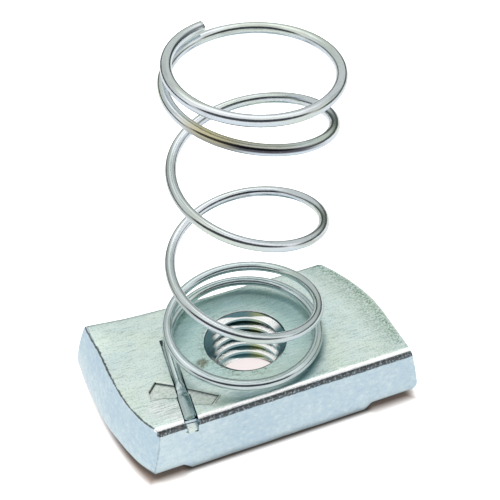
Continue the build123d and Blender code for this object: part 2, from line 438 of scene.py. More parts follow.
def groove_part(plate, tail, start, end, width, depth, fall=0.0):
    """One stretch of the groove, as a rounded trough along the tail's line; fall tips its front end down."""
    bm = bmesh.new()
    bmesh.ops.create_cube(bm, size=1.0)
    bmesh.ops.scale(bm, vec=(width, start - end, 2 * depth), verts=bm.verts)
    bmesh.ops.translate(bm, vec=(0, 0, -fall), verts=[v for v in bm.verts if v.co.y < 0 and v.co.z < 0])
    floor_edges = [e for e in bm.edges if all(v.co.z < 0 for v in e.verts)]
    rounding = min(0.3, depth * 0.4)
    bmesh.ops.bevel(
        bm, geom=floor_edges, offset=rounding, segments=4, profile=0.5, affect="EDGES", material=-1
    )
    middle_y = (start + end) / 2
    bmesh.ops.rotate(bm, cent=(0, 0, 0), matrix=Matrix.Rotation(-tail.skew, 3, "Z"), verts=bm.verts)
    centre = (tail_x(tail, middle_y), middle_y, mm(plate.thickness))
    bmesh.ops.translate(bm, vec=centre, verts=bm.verts)
    return bm


def groove_tools(plate, tail):
    """The groove, its wider end past the stake and the notch where it runs out over the front edge."""
    depth, width, spread = mm(tail.groove_depth), mm(tail.groove_width), mm(tail.spread_width)
    front = -mm(plate.width) / 2 - GROOVE_OVERRUN
    yield groove_part(plate, tail, mm(tail.groove_start), front, width, depth)
    yield groove_part(plate, tail, SPREAD_START, front, spread, depth)
    notch_start, notch_width = mm(tail.tail_end) + NOTCH_LAP, spread - NOTCH_NARROWER
    yield groove_part(plate, tail, notch_start, front, notch_width, depth + NOTCH_DEEPER, NOTCH_FALL)


def thread_tool(plate, thread):
    """The tap: one thread section carried up a helix, closed at both ends."""
    major, minor, pitch = mm(thread.major_radius), mm(thread.minor_radius), mm(thread.pitch)
    crest = pitch / 4
    flank = (major - minor) * tan(radians(30))
    points = ((minor, 0.0), (minor, crest), (major, crest + flank), (major, pitch - flank), (minor, pitch))
    turns = int(mm(plate.thickness) / pitch) + 3
    bm = bmesh.new()
    bmesh.ops.spin(
        bm, geom=section_line(bm, points), axis=(0, 0, 1), cent=(0, 0, 0), dvec=(0, 0, pitch / thread.steps),
        angle=2 * pi * turns, steps=thread.steps * turns, use_merge=False,
    )
    bmesh.ops.remove_doubles(bm, verts=bm.verts, dist=1e-3)
    middle = turns * pitch / 2
    for below in (True, False):
        rim = [e for e in bm.edges if e.is_boundary and (e.verts[0].co.z < middle) == below]
        heights = [v.co.z for e in rim for v in e.verts]
        made = bmesh.ops.extrude_edge_only(bm, edges=rim)["geom"]
        new = [g for g in made if isinstance(g, bmesh.types.BMVert)]
        bmesh.ops.pointmerge(bm, verts=new, merge_co=(0, 0, (min(heights) + max(heights)) / 2))
    bmesh.ops.recalc_face_normals(bm, faces=bm.faces)
    bmesh.ops.translate(bm, vec=(0, 0, -2 * pitch + mm(thread.phase)), verts=bm.verts)
    return bm


def mouth_tool(plate, thread, up):
    """A mouth of the hole: on top a short step, a lead-in cone and a little round; below a small cone."""
    major, minor, low = mm(thread.major_radius), mm(thread.minor_radius), mm(thread.low_mouth)
    top, inner = mm(plate.thickness), minor - 0.3
    points = ((0.0, -0.6), (inner, -0.3), (low, 0.03), (low, 1.0))
    if up:
        step = mm(thread.mouth_step)
        cone = -step - (major - minor) / tan(thread.lead_in / 2)
        brim = major + 0.07
        points = (
            (0.0, cone - 0.5), (inner, cone - 0.17), (major, -step), (major + 0.01, -0.04),
            (brim, 0.05), (brim, 1.0),
        )
    bm = bmesh.new()
    section = section_line(bm, (*points, (0.0, 1.0)))
    bmesh.ops.spin(
        bm, geom=section, axis=(0, 0, 1), cent=(0, 0, 0), angle=2 * pi, steps=thread.steps, use_merge=True
    )
    bmesh.ops.remove_doubles(bm, verts=bm.verts, dist=1e-4)
    if not up:
        bmesh.ops.rotate(bm, cent=(0, 0, 0), matrix=Matrix.Rotation(pi, 3, "X"), verts=bm.verts)
    bmesh.ops.translate(bm, vec=(0, 0, top - 0.03 if up else 0.03), verts=bm.verts)
    bmesh.ops.recalc_face_normals(bm, faces=bm.faces)
    return bm


EDGE_SHADE = (0.05, 0.08, 0.06)  # the painted shade along a struck edge
WHITE = (1.0, 1.0, 1.0)
STAKE_WINGS = (
    # outline of each struck facet: its sharp back edge first, then its faint front edge
    (((-13.1, -3.5), (-12.04, -2.33), (-9.6, -3.95)), ((-9.9, -5.75), (-11.8, -5.0), (-13.3, -4.85))),
    (((-9.3, -4.25), (-5.85, -7.0), (-6.4, -7.45)), ((-7.0, -7.95), (-8.2, -7.5), (-9.3, -6.9))),
)
STAKE_FACET_LIGHT = (
    # start, end and half width of the painted light on each facet
    ((-12.6, -3.8, 0.0), (-10.6, -4.3, 0.0), 1.0),
    ((-8.9, -5.6, 0.0), (-7.0, -7.1, 0.0), 0.9),
)
STAKE_STROKES = (
    # start, end, half width, strength, tone: painted shade along the struck edges, painted highlights below
    # their back edges
    ((-5.85, -7.0, 0.0), (-7.0, -7.96, 0.0), 0.09, 0.9, EDGE_SHADE),
    ((-5.65, -7.15, 0.0), (-6.5, -7.9, 0.0), 0.06, 0.6, EDGE_SHADE),
    ((-7.1, -8.0, 0.0), (-9.2, -6.95, 0.0), 0.06, 0.5, EDGE_SHADE),
    ((-13.3, -4.85, 0.0), (-11.8, -5.0, 0.0), 0.07, 0.6, EDGE_SHADE),
    ((-11.8, -5.0, 0.0), (-10.2, -5.7, 0.0), 0.07, 0.6, EDGE_SHADE),
    ((-13.1, -3.5, 0.0), (-12.04, -2.33, 0.0), 0.12, 0.7, EDGE_SHADE),
    ((-9.2, -4.65, 0.0), (-6.3, -7.0, 0.0), 0.08, 0.9, WHITE),
    ((-12.0, -2.12, 0.0), (-10.2, -3.3, 0.0), 0.08, 0.7, (1.0, 1.0, 0.92)),
)
NOTCH_STROKES = (
    # start, end and half width of each painted shade line round the notch
    ((-10.5, -9.5, 6.55), (-9.3, -9.5, 6.2), 0.11),
    ((-9.3, -9.5, 6.2), (-9.1, -9.5, 7.7), 0.10),
    ((-10.4, -8.5, 7.12), (-9.1, -8.5, 7.12), 0.12),
)
STAKE_X, STAKE_Y = (-13.5, -5.5), (-8.2, -2.0)  # the struck area
GROOVE_X = (-10.35, -8.55)  # the part of it that the groove takes


def stake_tool(plate, tail, wing):
    """A chisel facet: deep along its back edge, running out at the front."""
    back, front = wing
    top, depth = mm(plate.thickness), mm(tail.stake_depth)
    bm = bmesh.new()
    floor = [bm.verts.new((x, y, top - depth)) for x, y in back]
    floor += [bm.verts.new((x, y, top - 0.02)) for x, y in front]
    made = bmesh.ops.extrude_face_region(bm, geom=[bm.faces.new(floor)])["geom"]
    for v in made:
        if isinstance(v, bmesh.types.BMVert):
            v.co.z = top + 1.0
    bmesh.ops.triangulate(bm, faces=[f for f in bm.faces if len(f.verts) > 4])
    bmesh.ops.recalc_face_normals(bm, faces=bm.faces)
    return bm


TRUE_SHARE = 0.34  # the ground round the hole is true out to this share of the half length
BROAD_SWELL, FINE_SWELL = 0.22, 0.6  # scales of the unevenness, per millimetre


def roughen(bm, plate):
    """The pressed faces are a little uneven; the hole and the ground round it stay true."""
    amount, true_radius = mm(plate.waviness), mm(plate.half_length) * TRUE_SHARE
    bm.normal_update()
    moved = []
    for v in bm.verts:
        if hypot(v.co.x, v.co.y) >= true_radius:
            swell = noise.noise(v.co * BROAD_SWELL)
            swell += 0.5 * noise.noise(v.co * FINE_SWELL + Vector((7, 3, 1)))
            moved.append((v, v.normal * amount * swell))
    for v, step in moved:
        v.co += step


def mark_edges(piece, plate):
    """Stores how far each point is from the sheared edges, and which faces are the stake's back walls."""
    mesh = piece.data
    rim = mesh.attributes.new("edge_gap", "FLOAT", "POINT")
    end = mesh.attributes.new("end_gap", "FLOAT", "POINT")
    top, half_w = mm(plate.thickness), mm(plate.width) / 2
    for i, v in enumerate(mesh.vertices):
        x, y, z = (mm(c) for c in v.co)
        side = 1 if x > 0 else -1
        inward = abs(end_outline(plate, side, y)) - abs(x)
        gap = hypot(max(inward, 0.0), top - z)
        if side < 0:
            # the left end's front corner is sheared too, a little fainter
            gap = min(gap, hypot(y + half_w, x - end_reach(plate, side, -half_w, z)) + 0.05)
        rim.data[i].value = gap
        end.data[i].value = max(inward, 0.0) + (top - z) * 2
    walls = mesh.attributes.new("struck_wall", "FLOAT", "FACE")
    for face in mesh.polygons:
        x, y, z = (mm(c) for c in face.center)
        struck = STAKE_X[0] < x < STAKE_X[1] and STAKE_Y[0] < y < STAKE_Y[1] and z > top - 0.5
        by_groove = GROOVE_X[0] <= x <= GROOVE_X[1]
        walls.data[face.index].value = float(struck and abs(face.normal.z) < 0.45 and not by_groove)


class SPRINGNUT_OT_nut_plate(bpy.types.Operator):
    """Models the nut plate with its thread, groove, stake and toothed seats"""

    bl_idname = "springnut.nut_plate"
    bl_label = "Nut plate"

    def execute(self, context):
        nut = context.scene.spring_nut
        bm = plate_block(nut.plate)
        sharp = [e for e in bm.edges if len(e.link_faces) == 2 and e.calc_face_angle() > radians(50)]
        bmesh.ops.bevel(
            bm, geom=sharp, offset=0.07, segments=2, profile=0.5, affect="EDGES", material=-1,
            clamp_overlap=True,
        )
        roughen(bm, nut.plate)
        bm = cut_with(bm, thread_tool(nut.plate, nut.thread))
        bm = cut_with(bm, mouth_tool(nut.plate, nut.thread, True))
        bm = cut_with(bm, mouth_tool(nut.plate, nut.thread, False))
        for tool in groove_tools(nut.plate, nut.tail):
            bm = cut_with(bm, tool)
        for wing in STAKE_WINGS:
            bm = cut_with(bm, stake_tool(nut.plate, nut.tail, wing))
        piece = finish_piece(bm, "nut_plate_steel", plate_material(nut))
        mark_edges(piece, nut.plate)
        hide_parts("nut_plate")
        return {"FINISHED"}


# ---- coil spring ----
# turns from the top where the pitch starts and stops opening, then closing
PITCH_TURNS = (0.55, 1.88, 3.6, 4.22)
# radii of the wire's centre line, at equal angles from top to bottom
COIL_RADII = (8.35, 8.7, 8.15, 8.5, 9.05, 9.1)
AXIS_Y = 0.45  # of the coil's axis
COIL_TILT = 0.04  # rise of every free turn toward the back
TOP_TURN_TILT, TOP_TILT_TURNS = 0.085, 1.5  # the first turns rise more
COIL_END_SINK = 0.05  # how far the last turn's end lies below a wire that rests on the plate
BED_CLEARANCE = 0.03  # under the tail in its groove
TAIL_STEP = 0.25  # between the sections of the tail


def coil_axis_x(tail):
    """X of the coil's axis at the plate, so that the last turn runs on into the tail."""
    return mm(tail.middle_x) + COIL_RADII[-1] * cos(tail.skew)


def pitch_at(spring, turns):
    """Rise per turn, this many turns from the top."""
    opens, opened, closes, closed = PITCH_TURNS
    low, middle, high = mm(spring.bottom_pitch), mm(spring.open_pitch), mm(spring.top_pitch)
    if turns < opened:
        return high + (middle - high) * min(max((turns - opens) / (opened - opens), 0.0), 1.0)
    return middle + (low - middle) * min(max((turns - closes) / (closed - closes), 0.0), 1.0)


def radius_at(spring, angle):
    """Radius of the wire's centre line at an angle of the coil."""
    part = (angle - spring.start) / (spring.end - spring.start) * (len(COIL_RADII) - 1)
    index = min(int(part), len(COIL_RADII) - 2)
    return COIL_RADII[index] + (COIL_RADII[index + 1] - COIL_RADII[index]) * smooth(part - index)


def wire_line(plate, tail, spring):
    """Points along the wire's centre, from the cut top end down the coil and along the tail."""
    wire, top, full = mm(spring.wire_diameter) / 2, mm(plate.thickness), 2 * pi
    count = round((spring.end - spring.start) / full * spring.rings_per_turn)
    step = (spring.end - spring.start) / count
    height = end_z = top + wire - COIL_END_SINK
    points = []
    for i in range(count, -1, -1):
        angle = spring.start + i * step
        if i < count:
            height += pitch_at(spring, (i + 0.5) * step / full) * step / full
        free = min((spring.end - angle) / full, 1.0)
        x, y = radius_at(spring, angle) * cos(angle), radius_at(spring, angle) * sin(angle)
        tilt = COIL_TILT + TOP_TURN_TILT * smooth(1 - (angle - spring.start) / full / TOP_TILT_TURNS)
        z = height + free * (tilt * y - tan(spring.turn_lean) * x)
        points.append(Vector((coil_axis_x(tail) + (height - top) * tan(spring.lean) + x, AXIS_Y + y, z)))
    points.reverse()
    bed_z = top - mm(tail.groove_depth) + wire + BED_CLEARANCE
    start_y, bed_y, last_y = points[-1].y, mm(tail.bed_start), mm(tail.tail_end)
    steps = round((start_y - last_y) / TAIL_STEP)
    for i in range(1, steps + 1):
        y = start_y + (last_y - start_y) * i / steps
        fall = smooth((start_y - y) / (start_y - bed_y))
        points.append(Vector((tail_x(tail, y), y, end_z + (bed_z - end_z) * fall)))
    return points


def sweep_wire(points, radius, sides):
    """Carries a round section along the points with no twist, and closes both ends."""
    ways = [(b - a).normalized() for a, b in zip([points[0], *points[:-1]], [*points[1:], points[-1]])]
    bm = bmesh.new()
    turn_to = Vector((0, 0, 1)).rotation_difference(ways[0]).to_matrix().to_4x4()
    bmesh.ops.create_circle(
        bm, cap_ends=False, radius=radius, segments=sides, matrix=Matrix.Translation(points[0]) @ turn_to
    )
    spot = bm.verts.layers.float_vector.new("wire_spot")
    ring = list(bm.edges)
    first = ring
    for i, v in enumerate(bm.verts):
        around = 2 * pi * i / sides
        v[spot] = (0.0, cos(around), sin(around))
    along = 0.0
    for i in range(1, len(points)):
        along += (points[i] - points[i - 1]).length
        made = bmesh.ops.extrude_edge_only(bm, edges=ring)["geom"]
        verts = [g for g in made if isinstance(g, bmesh.types.BMVert)]
        ring = [g for g in made if isinstance(g, bmesh.types.BMEdge) and all(v in verts for v in g.verts)]
        bend = ways[i - 1].rotation_difference(ways[i]).to_matrix()
        bmesh.ops.rotate(bm, cent=points[i - 1], matrix=bend, verts=verts)
        bmesh.ops.translate(bm, vec=points[i] - points[i - 1], verts=verts)
        for v in verts:
            v[spot].x = along
    caps = [bmesh.ops.edgeloop_fill(bm, edges=edges)["faces"][0] for edges in (first, ring)]
    bmesh.ops.recalc_face_normals(bm, faces=bm.faces)
    rims = [e for face in caps for e in face.edges]
    bmesh.ops.bevel(bm, geom=rims, offset=0.06, segments=2, profile=0.5, affect="EDGES", material=-1)
    return bm


# the tail is flattened from the first of these to its end, spread from the second, and dented up to the third
STRUCK_FROM, SPREAD_FROM, BITE_TO = -3.7, -4.6, -5.6
STRUCK_RUN, SPREAD_RUN, BITE_RUN = 0.45, 1.2, 0.5  # how far each of them takes to be full
BITE, CREASE = 0.12, 0.17  # depth of the dent, and fall of the top to both sides of its crease
CREASE_ASIDE = 0.15  # the crease lies this share of the wire's radius to the left of the middle
SPREAD_PLAY = 0.08  # the spread tail is this much narrower than its groove
TAIL_PART = (-8.0, -3.0)  # to the left and front of these, and low down, the wire is the staked tail


def flatten_tail(bm, plate, tail, spring):
    """The stake has flattened the tail, creased it and spread it to fill the groove."""
    wire = mm(spring.wire_diameter) / 2
    bed_z = mm(plate.thickness) - mm(tail.groove_depth) + wire + BED_CLEARANCE
    widen = (mm(tail.spread_width) - SPREAD_PLAY) / (2 * wire) - 1
    for v in bm.verts:
        x, y, z = v.co
        on_tail = x < TAIL_PART[0] and y < TAIL_PART[1] and z < bed_z + 2 * wire
        if not on_tail:
            continue
        aside = x - tail_x(tail, y)
        struck = smooth((STRUCK_FROM - y) / STRUCK_RUN)
        spread = smooth((SPREAD_FROM - y) / SPREAD_RUN)
        bite = struck * smooth((y - BITE_TO) / BITE_RUN) * BITE
        up = z - bed_z
        if up > 0:
            crease = CREASE * abs(aside / wire + CREASE_ASIDE) * spread
            roof = mm(tail.flat_top) - bed_z - bite - crease
            v.co.z = bed_z + up + struck * (min(up, roof) - up)
        v.co.x = x + aside * widen * spread


class SPRINGNUT_OT_coil_spring(bpy.types.Operator):
    """Models the coil spring and its staked tail"""

    bl_idname = "springnut.coil_spring"
    bl_label = "Coil spring"

    def execute(self, context):
        nut = context.scene.spring_nut
        line = wire_line(nut.plate, nut.tail, nut.spring)
        bm = sweep_wire(line, mm(nut.spring.wire_diameter) / 2, nut.spring.sides)
        flatten_tail(bm, nut.plate, nut.tail, nut.spring)
        piece = finish_piece(bm, "coil_spring_wire", wire_material(nut), sharp_angle=40.0)
        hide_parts("coil_spring")
        return {"FINISHED"}


# ---- materials ----
class Shade:
    """A socket that takes part in sums; each operator adds its Math node."""

    def __init__(self, maker, socket):
        self.maker, self.socket = maker, socket

    def math(self, operation, other=0.0, swap=False):
        first, second = (other, self) if swap else (self, other)
        return self.maker.node("ShaderNodeMath", {"operation": operation}, {0: first, 1: second})

    def __add__(self, other):
        return self.math("ADD", other)

    def __sub__(self, other):
        return self.math("SUBTRACT", other)

    def __rsub__(self, other):
        return self.math("SUBTRACT", other, swap=True)

    def __mul__(self, other):
        return self.math("MULTIPLY", other)

    __radd__ = __add__
    __rmul__ = __mul__

    def __abs__(self):
        return self.math("ABSOLUTE")

    def ramp(self, low, high):
        """0 at low, 1 at high, smooth between."""
        inputs = {"Value": self, "From Min": low, "From Max": high}
        return self.maker.node("ShaderNodeMapRange", {"interpolation_type": "SMOOTHSTEP"}, inputs)

    def fade(self, low, high):
        """1 at low, 0 at high, smooth between."""
        return 1 - self.ramp(low, high)

    def band(self, start, full, fades, end):
        """0 outside a band, 1 well inside it."""
        return self.ramp(start, full) * self.fade(fades, end)


class Maker:
    """Builds the nodes of one material or world."""

    def __init__(self, owner):
        owner.use_nodes = True
        self.tree = owner.node_tree
        self.tree.nodes.clear()

    def node(self, kind, settings=None, inputs=None, output=0):
        """One node: its settings are set first, then its sockets get values or links."""
        made = self.tree.nodes.new(kind)
        for key, value in (settings or {}).items():
            if key == "stops":
                self.set_stops(made.color_ramp, value)
            else:
                setattr(made, key, value)
        for key, value in (inputs or {}).items():
            socket = made.inputs[key]
            if isinstance(value, Shade):
                self.tree.links.new(value.socket, socket)
            elif socket.type == "RGBA" and len(value) == 3:
                socket.default_value = (*value, 1.0)
            else:
                socket.default_value = value
        return Shade(self, made.outputs[output]) if made.outputs else made

    def set_stops(self, ramp, stops):
        while len(ramp.elements) < len(stops):
            ramp.elements.new(1.0)
        for element, (position, value) in zip(ramp.elements, stops):
            element.position = position
            element.color = (*value, 1.0)

    def mix(self, mask, a, b):
        """Colour a where the mask is 0, colour b where it is 1."""
        settings = {"data_type": "RGBA", "blend_type": "MIX"}
        return self.node("ShaderNodeMix", settings, {0: mask, 6: a, 7: b}, output=2)

    def place(self, stretch=(1.0, 1.0, 1.0), shift=(0.0, 0.0, 0.0)):
        """Object coordinates in millimetres, stretched."""
        spot = self.node("ShaderNodeTexCoord", output="Object")
        scale = tuple(s / MM for s in stretch)
        return self.node("ShaderNodeMapping", None, {"Vector": spot, "Location": shift, "Scale": scale})

    def axes(self, vector):
        """X, Y and Z of a vector."""
        made = self.tree.nodes.new("ShaderNodeSeparateXYZ")
        self.tree.links.new(vector.socket, made.inputs[0])
        return [Shade(self, socket) for socket in made.outputs]

    def stored(self, name, output="Fac"):
        """An attribute of the piece's mesh."""
        return self.node("ShaderNodeAttribute", {"attribute_name": name}, output=output)

    def noise_on(self, spot, scale, detail, roughness=0.5):
        """Noise over a vector."""
        inputs = {"Vector": spot, "Scale": scale, "Detail": detail, "Roughness": roughness}
        return self.node("ShaderNodeTexNoise", None, inputs)

    def noise(self, scale, detail=2.0, stretch=(1.0, 1.0, 1.0), shift=(0.0, 0.0, 0.0), roughness=0.5):
        """Noise over the piece, its scale per millimetre."""
        return self.noise_on(self.place(stretch, shift), scale, detail, roughness)

    def vector(self, operation, inputs, output=0):
        """Vector sums; inputs are the node's sockets by place or name."""
        return self.node("ShaderNodeVectorMath", {"operation": operation}, inputs, output)

    def far(self, a, b):
        """Distance between two points."""
        return self.vector("DISTANCE", {0: a, 1: b}, "Value")

    def diagonal(self, a, b):
        """Length of the diagonal of two lengths at right angles."""
        return (a * a + b * b).math("SQRT")

    def stroke(self, spot, start, end, half_width, soft=0.05):
        """1 on a straight scratch between two points in millimetres, 0 away from it."""
        way = Vector(end) - Vector(start)
        off = self.vector("SUBTRACT", {0: spot, 1: start})
        part = self.vector("DOT_PRODUCT", {0: off, 1: way / way.length_squared}, "Value")
        part = self.node("ShaderNodeClamp", None, {"Value": part})
        nearest = self.vector("SCALE", {0: way, "Scale": part})
        return self.far(off, nearest).fade(half_width - soft, half_width + soft)

    def coats(self, base, *coats):
        """Lays coats over a base colour, one after the other; each is a mask and a colour."""
        for mask, tone in coats:
            base = self.mix(mask, base, tone)
        return base

    def bump(self, height, strength, distance):
        inputs = {"Height": height, "Strength": strength, "Distance": distance * MM}
        return self.node("ShaderNodeBump", None, inputs)

    def surface(self, **inputs):
        sockets = {name.replace("_", " "): value for name, value in inputs.items()}
        shader = self.node("ShaderNodeBsdfPrincipled", None, sockets)
        self.node("ShaderNodeOutputMaterial", None, {"Surface": shader})


class PlateSkin(Maker):
    """The places, directions, patterns and masks that the plate's coats share."""

    def __init__(self, owner, nut):
        super().__init__(owner)
        self.sizes, self.finish, self.top = nut, nut.finish, mm(nut.plate.thickness)
        self.spot, self.flat = self.place(), self.place((1.0, 1.0, 0.0))
        self.x, self.y, self.z = self.axes(self.spot)
        self.nx, _, self.nz = self.axes(self.node("ShaderNodeTexCoord", output="Normal"))
        self.upward = self.nz.ramp(0.55, 0.95)
        self.sideways = 1 - self.upward
        self.radius = self.diagonal(self.x, self.y)
        self.grain = self.noise(2.6, 5.0, stretch=(0.30, 2.0, 2.0), roughness=0.68)
        self.speckle = self.noise(4.5, 3.0, shift=(3.0, 1.0, 2.0), roughness=0.6)
        self.crumbs = self.noise(3.8, 4.0, shift=(9.0, 0.0, 3.0), roughness=0.7)
        self.cloud = self.noise(0.20, 3.0)
        self.mottle = self.noise(1.5, 4.0, shift=(2.0, 9.0, 5.0), roughness=0.6)
        self.lines = self.noise(3.0, 2.0, stretch=(0.12, 5.0, 5.0), shift=(0.0, 5.0, 0.0))
        self.ragged = self.noise(1.3, 4.0, shift=(4.0, 2.0, 7.0), roughness=0.7)
        over = self.z - self.top
        self.bore = self.radius.fade(5.02, 5.06) * over.fade(-0.05, -0.01)
        self.crest = self.y.band(-9.20, -9.12, -8.86, -8.74) * over.ramp(-0.42, -0.32)
        uneven = self.ragged * 0.5 + self.crumbs * 0.3 - 0.40
        self.roll = self.y.fade(-9.22, -9.14) * (over + 0.90 + uneven * 0.9).ramp(-0.06, 0.06)
        self.struck = self.stroke(self.flat, (-12.6, -3.8, 0.0), (-6.6, -7.2, 0.0), 1.0, 0.3) * self.upward


def plating(m):
    """The zinc itself with clouds and a finer mottle; greener on top, and bluer and darker on the sides as
    painted shade and reflection, darker still toward the right and up the left end.
    """
    finish, upward, sideways = m.finish, m.upward, m.sideways
    blue = m.noise(0.30, 2.0, shift=(11.0, 4.0, 0.0))
    left_face = m.nx.fade(-0.80, -0.40) * sideways
    return m.coats(
        # painted shade and reflection: the sides are bluer and darker than the top
        m.mix(upward, finish.plate_side, finish.plate_top),
        (blue.ramp(0.45, 0.70) * 0.40, m.mix(upward, (0.50, 0.64, 0.80), (0.68, 0.84, 0.88))),
        # painted shade: the sides darker toward the right, and the left end darker toward its top
        (m.x.ramp(-15.0, -4.0) * sideways * 0.9, (0.51, 0.655, 0.74)),
        (left_face * m.z.ramp(-1.0, 6.5) * 0.85, (0.49, 0.65, 0.75)),
        (m.cloud.ramp(0.42, 0.72) * 0.45, m.mix(upward, (0.66, 0.78, 0.82), finish.plate_tint)),
        (m.mottle.ramp(0.50, 0.68) * 0.32 * sideways, (0.80, 0.88, 0.90)),
        (m.mottle.fade(0.32, 0.50) * 0.42 * sideways, (0.44, 0.57, 0.70)),
    )


def coil_shade(m, base):
    """Painted shade and painted reflections of the spring on the ground inside and just outside its last
    turn.
    """
    coil = m.diagonal(m.x - coil_axis_x(m.sizes.tail), m.y - AXIS_Y)
    inside = coil.fade(7.7, 9.0) * m.upward
    back_band = coil.band(5.4, 6.4, 7.0, 8.2) * m.y.ramp(-1.0, 4.0) * m.upward
    outside = coil.band(8.2, 8.8, 9.6, 10.6) * m.y.fade(-4.0, 2.0) * m.x.ramp(-6.5, -3.0)
    return m.coats(
        base,
        (inside * 0.50, m.mix(m.y.ramp(-6.0, -2.0), (0.38, 0.57, 0.50), (0.42, 0.68, 0.66))),
        (back_band * 0.35, (0.30, 0.54, 0.55)),
        (outside * m.upward * 0.80, (0.20, 0.33, 0.36)),
    )


def grain_marks(m, base):
    """Fine pits, the grain along the bar and a few long scratches."""
    dark = m.finish.plate_dark
    return m.coats(
        base,
        (m.speckle.ramp(0.50, 0.70) * (m.upward * 0.40 + 0.10), dark),
        (m.grain.ramp(0.52, 0.70) * 0.50 * m.upward, dark),
        (m.grain.fade(0.30, 0.46) * 0.55 * m.upward, WHITE),
        (m.lines.ramp(0.62, 0.70) * 0.6 * m.upward, dark),
    )


def thread_colours(m, base):
    """Painted light in the bore: painted highlights on the crests, wider to both sides, painted shade in the
    roots, a yellow stain on one side, and a painted highlight on the rim at the back.
    """
    radius, nz = m.radius, m.nz
    across = (m.x * 0.951 - m.y * 0.31) * radius.math("DIVIDE", 1.0, swap=True)
    aside = abs(across)
    from_crest = radius - mm(m.sizes.thread.minor_radius)
    # painted highlight bands on the upward flanks of the thread
    lit_band = (from_crest - aside.ramp(0.10, 0.75) * 0.62).fade(0.12, 0.20)
    lit_band = lit_band * nz.ramp(0.2, 0.5) * aside.fade(0.80, 0.92)
    stain = across.band(-0.05, 0.35, 0.40, 0.70)
    # painted shade in the bore's roots
    bore_shade = m.mix(nz.ramp(0.2, 0.5), (0.22, 0.34, 0.36), (0.115, 0.215, 0.235))
    bore_shade = m.mix(stain * m.cloud.ramp(0.25, 0.5) * 0.75, bore_shade, (0.40, 0.42, 0.19))
    # a painted highlight on the hole's rim at the back
    rim = radius.band(4.97, 5.02, 5.10, 5.16) * m.y.ramp(1.0, 3.0)
    rim = rim * (m.z - m.top).ramp(-0.10, -0.05)
    return m.coats(base, (m.bore, m.mix(lit_band, bore_shade, (1.0, 1.0, 0.97))), (rim, WHITE))


def rim_dirt(m, base):
    """Brown specks on the hole's rim, most at one spot."""
    dirt = m.noise(1.6, 4.0, shift=(1.0, 6.0, 0.0), roughness=0.7)
    rim = m.radius.band(4.95, 5.1, 5.3, 6.4) * m.upward
    blot = m.far(m.flat, (-6.0, -1.6, 0.0)).fade(0.3, 1.1)
    return m.coats(
        base,
        (rim * (m.x * -0.5 - m.y).ramp(-1.0, 4.5) * dirt.ramp(0.52, 0.66) * 0.7, (0.12, 0.13, 0.07)),
        (rim * m.crumbs.ramp(0.48, 0.60) * m.x.fade(-4.0, 3.0) * 0.55, (0.25, 0.34, 0.29)),
        (blot * m.upward * dirt.ramp(0.36, 0.56) * 0.8, (0.13, 0.11, 0.045)),
    )


def sheared_edges(m, base):
    """A rough greenish band along the right end, and a ragged black line in the left end's sheared edges."""
    gap = m.stored("end_gap")
    strokes = m.noise(3.4, 3.0, stretch=(1.0, 1.6, 1.0), shift=(2.0, 2.0, 0.0), roughness=0.7)
    band = gap.ramp(0.10, 0.35) * (1 - gap.ramp(0.6, 1.7) * 0.5) * gap.fade(1.8, 4.2)
    band = band * m.x.ramp(0.0, 5.0) * m.y.ramp(-9.0, -7.0)
    line = (m.stored("edge_gap") - m.ragged.ramp(0.30, 0.70) * 0.16 - 0.05).fade(-0.02, 0.05)
    line = line * m.x.fade(-13.0, -10.0) * (0.25 + (m.z - m.top).ramp(-1.2, -0.5) * 0.6)
    return m.coats(
        base,
        (band * (strokes.ramp(0.44, 0.58) * 0.85 + 0.10), (0.20, 0.32, 0.24)),
        (line, (0.035, 0.035, 0.035)),
    )


def stake_marks(m, base):
    """Painted shade on the stake's back walls and along its faint front edges, painted light on its facets
    and painted highlights below its back edges, and the notch's outline in painted shade.
    """
    # painted shade on the stake's back walls
    coats = [(m.stored("struck_wall").ramp(0.4, 0.6) * 0.85, (0.03, 0.04, 0.035))]
    for start, end, reach in STAKE_FACET_LIGHT:
        coats.append((m.stroke(m.flat, start, end, reach, 0.35) * m.upward * 0.75, (0.94, 1.0, 0.93)))
    for start, end, width, depth, tone in STAKE_STROKES:
        coats.append((m.stroke(m.flat, start, end, width) * m.upward * depth, tone))
    worked = m.stroke(m.flat, (-12.9, -6.2, 0.0), (-10.4, -7.9, 0.0), 1.1, 0.7) * m.upward
    coats.append((worked * m.crumbs.fade(0.46, 0.58) * 0.95, WHITE))
    coats.append((worked * m.lines.ramp(0.50, 0.58) * 0.7, m.finish.plate_dark))
    coats += [(m.stroke(m.spot, *stroke) * 0.9, (0.02, 0.04, 0.035)) for stroke in NOTCH_STROKES]
    return m.coats(base, *coats)


def front_roll(m, base):
    """The rolled front edge: a painted highlight along its crest and a ragged band of painted dark
    reflection, frayed toward the top face.
    """
    roll_dark_reflection = m.mix((m.z - m.top).ramp(-0.70, -0.30), (0.060, 0.065, 0.068), (0.17, 0.165, 0.165))
    fray = m.y.band(-8.74, -8.68, -8.40, -8.10) * m.x.ramp(-8.0, 0.0)
    return m.coats(
        base,
        # painted highlight along the crest, then the painted dark reflection below it
        (m.crest, WHITE),
        (m.roll * (1 - m.crumbs.ramp(0.50, 0.64) * 0.75) * 0.94, roll_dark_reflection),
        (fray * m.crumbs.ramp(0.50, 0.58) * m.upward * 0.30, (0.20, 0.25, 0.22)),
    )


def specks(m, base):
    """Dark chips in the sides, and specks on the struck facets."""
    chips = m.noise(1.1, 5.0, shift=(0.0, 8.0, 1.0), roughness=0.75)
    return m.coats(
        base,
        (chips.ramp(0.665, 0.72) * 0.7 * m.sideways, (0.10, 0.12, 0.14)),
        (m.struck * m.crumbs.ramp(0.50, 0.60) * 0.40, (0.40, 0.50, 0.45)),
        (m.struck * m.crumbs.fade(0.36, 0.48) * 0.60, WHITE),
    )


# in the order in which they lie on the plating
PLATE_COATS = (
    coil_shade, grain_marks, thread_colours, rim_dirt, sheared_edges, stake_marks, front_roll, specks,
)


